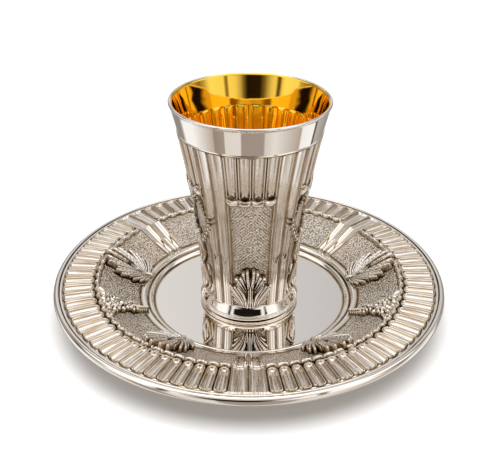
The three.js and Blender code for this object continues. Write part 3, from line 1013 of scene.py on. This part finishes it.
def leaf_relief():
    """A leaf of paired fingers that springs from the well's moulding and fans out to the border."""
    r = Relief(np.linspace(-10.4, 10.4, 128), np.linspace(-62.4, -41.6, 128))
    fan = [
        # start along the midrib, heading, length, half width, rise
        (0.0, 88, 5.4, 0.6, 1.8),
        (0.2, 74, 7.8, 0.75, 2.2),
        (0.5, 62, 9.6, 0.8, 2.6),
        (1.2, 54, 9.0, 0.7, 2.8),
        (1.6, 45, 11.6, 0.85, 3.0),
        (2.0, 36, 12.6, 0.85, 3.3),
        (2.6, 28, 10.8, 0.75, 3.3),
        (3.0, 20, 13.8, 0.9, 3.7),
        (3.6, 11, 14.2, 0.85, 3.9),
    ]
    shape = {"groove": 0.3, "lift": 0.5, "point": 0.25, "cut": 1.6}
    for start, heading, length, width, rise in fan:
        turn = math.radians(heading)
        for side in (-1, 1):
            root = (side * 0.3, -(LEAF_ROOT + start))
            tip = (side * length * math.sin(turn), -(LEAF_ROOT + start + length * math.cos(turn)))
            r.finger(root, tip, 0.88 * width, 0.9 * rise, side * 0.07, **shape)
    r.finger((0, -(LEAF_ROOT + 4.0)), (0, -(LEAF_ROOT + 18.6)), 0.8, 3.7, **shape)
    midrib = [(0, -LEAF_ROOT + 0.4), (0, -(LEAF_ROOT + 5)), (0, -(LEAF_ROOT + 10))]
    r.stroke(midrib, [0.9, 0.6, 0.35], [2.0, 2.6, 3.3], groove=0.45, cut=1.0)
    return r.grounded(16)


def drop_relief():
    """Small flowers and buds over a beaded tail, between two long blades."""
    r = Relief(np.linspace(-10.5, 10.5, 124), np.linspace(-61.4, -42.6, 112))
    for side in (-1, 1):
        r.finger((side * 1.2, -44.0), (side * 8.6, -60.4), 1.0, 1.7, -side * 0.16, groove=0.35)
        r.finger((side * 1.0, -45.0), (side * 6.2, -60.0), 0.8, 1.5, -side * 0.12, groove=0.35)
    flowers = [(-3.5, 58.4, 1.8), (3.5, 58.4, 1.8), (0, 59.0, 1.9), (-2.2, 55.2, 1.9), (2.2, 55.0, 1.9)]
    flowers += [(0.2, 52.2, 1.9), (-1.6, 49.6, 1.5), (1.6, 49.2, 1.5)]
    for x, out, size in flowers:
        for petal in range(5):
            tip = towards((x, -out), size, 72 * petal + 20 * x)
            r.finger((x, -out), tip, 0.5 * size, 2.3, lift=0.2, point=0.1)
        r.bead((x, -out), 0.38 * size, 2.9)
    for i in range(7):
        out, radius = 47.6 - 0.8 * i, 0.7 - 0.06 * i
        for side in (-1, 1):
            r.finger((side * 0.3, -out), (side * (radius + 1.1), -out - 1.2), 0.5, 1.6)
        r.bead((0, -out), radius, 2.0)
    return r.grounded(14)


def column_relief():
    """Narrow reeds in the field below a column of the border, with pointed ends."""
    xs, ys = np.linspace(-5.6, 5.6, 96), np.linspace(-60.4, -43.4, 64)
    x, y = np.meshgrid(xs, ys)
    half = np.radians(COLUMN_ARC / 2) * FIELD_REFERENCE
    across = across_channel(np.abs(x), half)
    narrowing = np.clip((-y - 48.0) / 6.0, 0, 1) * 0.95
    body, dirt_and_shade = cabled_section(across, SAUCER_FLUTE_DEPTH, narrowing)
    body = 1.1 + body + 0.25 * spot((across - 0.42) / 0.2) * (narrowing < across)
    # Painted dark lines that stand in for the shade between finer reeds.
    dirt_and_shade = dirt_and_shade + 0.6 * spot((across - 0.42) / 0.07)
    ends = ramp(-y, 43.6, 45.0)
    is_inside = (np.abs(x) < half) & (ends > 0.05)
    return xs, ys, np.where(is_inside, body * ends, SUNK), np.where(is_inside, dirt_and_shade, 0)


def saucer_ornaments():
    leaf, drop = leaf_relief(), drop_relief()
    for i, centre in enumerate(LEAVES_AT):
        add_ornament(f"saucer_leaf_{i}", saucer_place(centre), leaf)
    for i, centre in enumerate(DROPS_AT):
        add_ornament(f"saucer_drop_{i}", saucer_place(centre), drop)
    xs, ys, relief, dirt_and_shade = column_relief()
    x, y = np.meshgrid(xs, ys)
    layers = surface(relief.shape, dirt_and_shade, across=x, along=-y, kind=FAINT_STREAKS)
    for i, centre in enumerate(COLUMNS_AT):
        add_patch(f"saucer_column_{i}", saucer_place(centre), xs, ys, relief, layers)


# -------- studio

# What metal sees round it: azimuth, red, green, blue. The camera stands at azimuth 0.
LIGHT_BELOW = [
    (-180, 0.75, 0.74, 0.73), (-163, 0.75, 0.73, 0.71), (-157, 0.3, 0.27, 0.25),
    (-134, 0.3, 0.27, 0.25), (-126, 0.98, 0.98, 0.98), (-105, 0.98, 0.97, 0.96),
    (-66, 0.50, 0.43, 0.37), (-65, 0.32, 0.26, 0.22), (-46, 0.38, 0.32, 0.26), (-45, 0.76, 0.71, 0.66),
    (-17, 0.78, 0.73, 0.69), (-16, 0.36, 0.30, 0.26), (25, 0.37, 0.31, 0.27), (26, 0.66, 0.61, 0.57),
    (45, 0.82, 0.77, 0.72), (92, 0.45, 0.38, 0.33), (93, 0.93, 0.91, 0.89), (119, 1.0, 1.0, 1.0),
    (120, 0.1, 0.08, 0.06), (124, 0.1, 0.08, 0.06), (125, 0.5, 0.46, 0.42), (157, 0.3, 0.27, 0.25),
    (163, 0.75, 0.73, 0.71),
]
LIGHT_LEVEL = [
    (-180, 0.8, 0.78, 0.76), (-163, 0.75, 0.73, 0.7), (-157, 0.3, 0.27, 0.24),
    (-108, 0.3, 0.27, 0.24), (-100, 0.1, 0.08, 0.06),
    (-81, 0.55, 0.5, 0.45), (-76, 1.0, 1.0, 0.98), (-54, 1.1, 1.1, 1.1), (-49, 0.8, 0.76, 0.7),
    (-46, 0.1, 0.08, 0.06), (-43, 0.12, 0.1, 0.08), (-39, 0.95, 0.92, 0.88), (-33, 0.8, 0.77, 0.73),
    (-22, 0.18, 0.15, 0.12), (-15, 0.02, 0.015, 0.01), (5, 0.015, 0.01, 0.008), (11, 0.2, 0.17, 0.14),
    (16, 0.6, 0.56, 0.52), (24, 0.95, 0.92, 0.88), (34, 1.0, 0.98, 0.95), (36, 0.3, 0.26, 0.22),
    (39, 0.25, 0.2, 0.16), (42, 1.0, 0.98, 0.95), (64, 1.1, 1.1, 1.1), (74, 0.55, 0.5, 0.45),
    (84, 0.25, 0.2, 0.16), (96, 0.5, 0.46, 0.42), (110, 0.9, 0.88, 0.85),
    (126, 0.3, 0.27, 0.24), (157, 0.3, 0.27, 0.24), (163, 0.75, 0.73, 0.7),
]
LIGHT_RAISED = [
    (-180, 0.5, 0.49, 0.48), (-112, 0.45, 0.42, 0.38), (-107, 0.06, 0.05, 0.04), (-102, 0.06, 0.05, 0.04),
    (-99, 1.1, 1.1, 1.1), (-50, 1.1, 1.1, 1.1), (-48, 0.04, 0.03, 0.02), (-44, 0.04, 0.03, 0.02),
    (-42, 0.9, 0.87, 0.82), (-37, 0.9, 0.87, 0.82), (-34, 0.01, 0.008, 0.006), (27, 0.01, 0.008, 0.006),
    (30, 0.9, 0.87, 0.82), (36, 0.9, 0.87, 0.82), (38, 0.04, 0.03, 0.02), (42, 0.04, 0.03, 0.02),
    (44, 1.1, 1.1, 1.1), (98, 1.1, 1.1, 1.1), (102, 0.06, 0.05, 0.04), (108, 0.06, 0.05, 0.04),
    (113, 0.6, 0.57, 0.53), (140, 0.5, 0.49, 0.48),
]
LIGHT_ABOVE = [
    (-180, 0.67, 0.66, 0.66), (-172, 0.75, 0.74, 0.74), (-150, 0.82, 0.81, 0.81), (-132, 0.22, 0.18, 0.14),
    (-116, 0.2, 0.16, 0.12), (-108, 1.15, 1.15, 1.15), (-55, 1.1, 1.1, 1.1), (-45, 0.75, 0.7, 0.65),
    (-20, 0.7, 0.65, 0.6), (20, 0.7, 0.65, 0.6), (45, 0.75, 0.7, 0.65), (55, 1.1, 1.1, 1.1),
    (108, 1.15, 1.15, 1.15), (116, 0.2, 0.16, 0.12), (132, 0.22, 0.18, 0.14), (150, 0.68, 0.67, 0.67),
    (172, 0.57, 0.56, 0.56),
]
# Elevations between which what lies below gives way to these.
LIGHT_BANDS = [(-12, -6, LIGHT_LEVEL), (19.5, 21.5, LIGHT_RAISED), (26, 30, LIGHT_ABOVE)]
OVERHEAD = (1.42, 1.42, 1.42, 1)
BACKDROP = (0.98, 0.98, 0.98, 1)
MATT_SHADE = 0.3  # share of the studio's light that matt surfaces don't get

CAMERA_AT = (0, -0.2973, 0.1987)
CAMERA_AIM = (0.0002, 0, 0.03467)
CAMERA_LENS = 62.04
CAMERA_ROLL = 0.45


def panorama(nodes, turn, cards):
    """Light all round the horizon, blending between (azimuth, red, green, blue) points."""
    closed = [*cards, (180, *cards[0][1:])]
    return nodes.ramp(turn, [((azimuth + 180) / 360, (*colour, 1.0)) for azimuth, *colour in closed])


def world():
    """A painted studio: what metal sees below the horizon, along it, above it and overhead."""
    scene = bpy.context.scene
    scene.world = bpy.data.worlds.new("studio")
    scene.world.use_nodes = True
    nodes = Nodes(scene.world.node_tree)
    direction = nodes.add("TexCoord").outputs["Generated"]
    aside, ahead, up = nodes.add("SeparateXYZ", Vector=direction).outputs
    azimuth = nodes.math("ARCTAN2", aside, nodes.times(ahead, -1.0))
    turn = nodes.plus(nodes.math("DIVIDE", azimuth, 2 * math.pi), 0.5)
    elevation = nodes.times(nodes.math("ARCSINE", up), 180 / math.pi)
    around = panorama(nodes, turn, LIGHT_BELOW)
    for start, end, cards in LIGHT_BANDS:
        around = nodes.mix(nodes.map_range(elevation, start, end), around, panorama(nodes, turn, cards))
    around = nodes.mix(nodes.map_range(elevation, 56, 64), around, OVERHEAD)
    path = nodes.add("LightPath").outputs
    strength = nodes.minus(1.0, nodes.times(path["Is Diffuse Ray"], MATT_SHADE))
    lit = nodes.add("Background", Color=around, Strength=strength)
    plain = nodes.add("Background", Color=BACKDROP, Strength=1.0)
    both = nodes.add("MixShader", i0=path["Is Camera Ray"], i1=lit.outputs[0], i2=plain.outputs[0])
    nodes.add("OutputWorld", Surface=both.outputs[0])


def floor():
    material, nodes = new_material("floor")
    shader = nodes.add("BsdfPrincipled", Base_Color=(0.93, 0.93, 0.93, 1), Roughness=1.0)
    shader.inputs["Specular IOR Level"].default_value = 0.0
    nodes.add("OutputMaterial", Surface=shader.outputs[0])
    bpy.ops.mesh.primitive_plane_add(size=6, location=(0, 0, -0.00002))
    plane = bpy.context.object
    plane.name = "floor"
    plane.data.materials.append(material)
    plane.visible_glossy = False


def lamp(name, location, target, size, power):
    data = bpy.data.lights.new(name, "AREA")
    data.shape = "SQUARE"
    data.size = size
    data.energy = power
    light = bpy.data.objects.new(name, data)
    bpy.context.scene.collection.objects.link(light)
    light.location = location
    light.rotation_euler = (Vector(target) - Vector(location)).to_track_quat("-Z", "Y").to_euler()
    light.visible_glossy = False


def camera():
    data = bpy.data.cameras.new("camera")
    data.sensor_width = 36
    data.lens = CAMERA_LENS
    data.clip_start = 0.01
    view = bpy.data.objects.new("camera", data)
    bpy.context.scene.collection.objects.link(view)
    view.location = CAMERA_AT
    aim = (Vector(CAMERA_AIM) - view.location).to_track_quat("-Z", "Y")
    roll = Euler((0, 0, math.radians(CAMERA_ROLL))).to_quaternion()
    view.rotation_mode = "QUATERNION"
    view.rotation_quaternion = aim @ roll
    bpy.context.scene.camera = view


cup()
cup_lining()
cup_ornaments()
saucer()
saucer_border()
saucer_ornaments()
world()
floor()
lamp("overhead", (0.0, -0.1, 0.9), (0, -0.1, 0), 1.0, 9.0)
camera()
bpy.context.scene.view_settings.view_transform = "Standard"
